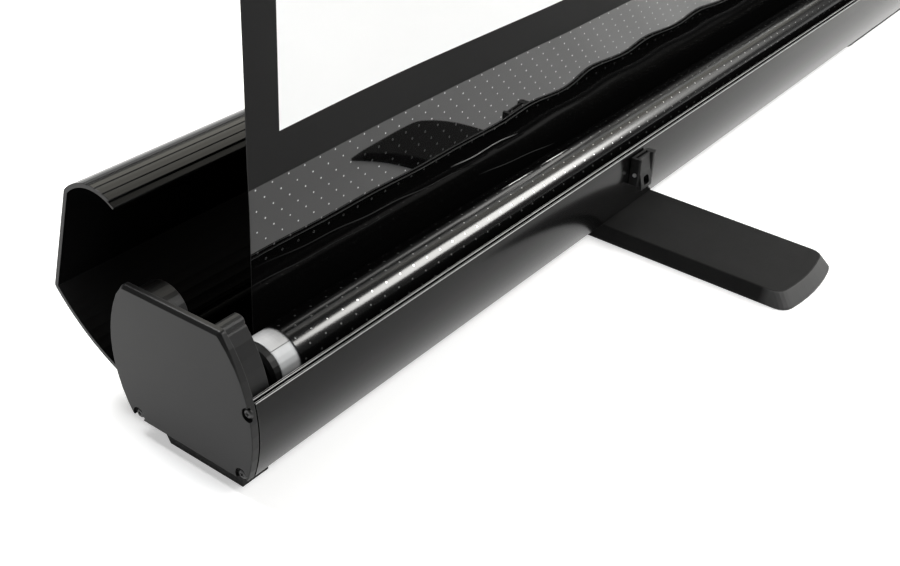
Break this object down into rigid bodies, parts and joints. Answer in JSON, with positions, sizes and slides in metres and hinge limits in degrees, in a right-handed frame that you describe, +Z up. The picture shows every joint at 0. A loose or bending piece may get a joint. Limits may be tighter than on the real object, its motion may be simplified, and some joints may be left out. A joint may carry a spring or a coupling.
{
  "type": "portable_projection_screen",
  "caption": "Portable floor-standing projection screen: a black extruded case with a hinged lid, swivelling feet, a spring roller and a black-bordered white cloth drawn up on a mast",
  "frame": {"origin": "on the floor, under the middle of the case's length and of the turned-out foot", "axes": "+X runs along the case to the end with the turned-in foot, -Y is the side the audience sees, +Z is up"},
  "size_m": [1.792, 0.49, 1.1566],
  "materials": {
    "case_black": "black anodised, satin",
    "cap_plastic": "matte dark grey",
    "rubber": "matte black",
    "roller_metal": "satin",
    "film": "glossy black",
    "cloth": "matte white with a black border",
    "steel": "dark",
    "foot_plastic": "satin black",
    "mast_metal": "satin"
  },
  "bodies": {
    "case": {"base_extrusion": "case_black", "end_cap_left": "cap_plastic", "end_cap_right": "cap_plastic", "end_pad_left": "rubber", "end_pad_right": "rubber", "latch_housing_left": "cap_plastic", "latch_housing_right": "cap_plastic", "latch_pin_left": "steel", "latch_pin_right": "steel", "mast_bracket": "steel", "mast_pin": "steel", "roller_axle_left": "steel", "roller_axle_right": "steel", "foot_pivot_left": "steel", "foot_pivot_right": "steel", "screen_cloth": "cloth"},
    "lid": {"lid": "case_black"},
    "foot_left": {"foot_left": "foot_plastic"},
    "foot_right": {"foot_right": "foot_plastic"},
    "latch_left": {"latch_lever_left": "cap_plastic"},
    "latch_right": {"latch_lever_right": "cap_plastic"},
    "roller": {"roller_tube": "roller_metal", "wound_cloth": "film", "roller_hub_left": "cap_plastic", "roller_hub_right": "cap_plastic", "spring_cartridge": "steel"},
    "batten": {"top_batten": "case_black", "batten_end_left": "cap_plastic", "batten_end_right": "cap_plastic", "batten_hanger": "steel"},
    "mast_lower": {"mast_outer": "mast_metal", "mast_foot": "cap_plastic", "mast_collar": "cap_plastic"},
    "mast_upper": {"mast_inner": "mast_metal", "mast_head": "cap_plastic"},
    "knob": {"mast_knob": "cap_plastic"}
  },
  "joints": [
    {"name": "lid_hinge", "type": "hinge", "parent": "case", "child": "lid", "pos_m": [0, 0.06244, 0.0481], "axis": [1, 0, 0], "range_deg": [0, 9]},
    {"name": "foot_left_swivel", "type": "hinge", "parent": "case", "child": "foot_left", "pos_m": [-0.401, 0, 0], "axis": [0, 0, 1], "range_deg": [-90, 0]},
    {"name": "foot_right_swivel", "type": "hinge", "parent": "case", "child": "foot_right", "pos_m": [0.401, 0, 0], "axis": [0, 0, 1], "range_deg": [0, 90]},
    {"name": "latch_left_press", "type": "hinge", "parent": "case", "child": "latch_left", "pos_m": [-0.409, -0.071, 0.0581], "axis": [1, 0, 0], "range_deg": [0, 12]},
    {"name": "latch_right_press", "type": "hinge", "parent": "case", "child": "latch_right", "pos_m": [0.409, -0.071, 0.0581], "axis": [1, 0, 0], "range_deg": [0, 12]},
    {"name": "mast_fold", "type": "hinge", "parent": "case", "child": "mast_lower", "pos_m": [0, 0.02057, 0.0341], "axis": [0, 1, 0], "range_deg": [0, 82]},
    {"name": "mast_slide", "type": "slide", "parent": "mast_lower", "child": "mast_upper", "axis": [0, 0, 1], "range_m": [-0.45, 0]},
    {"name": "mast_knob_turn", "type": "hinge", "parent": "mast_lower", "child": "knob", "pos_m": [0, 0.02057, 0.6134], "axis": [1, 0, 0], "range_deg": [0, 180]},
    {"name": "batten_slide", "type": "slide", "parent": "case", "child": "batten", "axis": [0, 0, 1], "range_m": [-0.45, 0], "deforming": ["screen_cloth"]},
    {"name": "roller_spin", "type": "hinge", "parent": "case", "child": "roller", "pos_m": [0, -0.024, 0.061], "axis": [1, 0, 0], "range_deg": [-1096, 0]}
  ],
  "couplings": [
    {"joint": "batten_slide", "follows": "mast_slide", "ratio": 1},
    {"joint": "roller_spin", "follows": "mast_slide", "rad_per_m": 42.463}
  ]
}
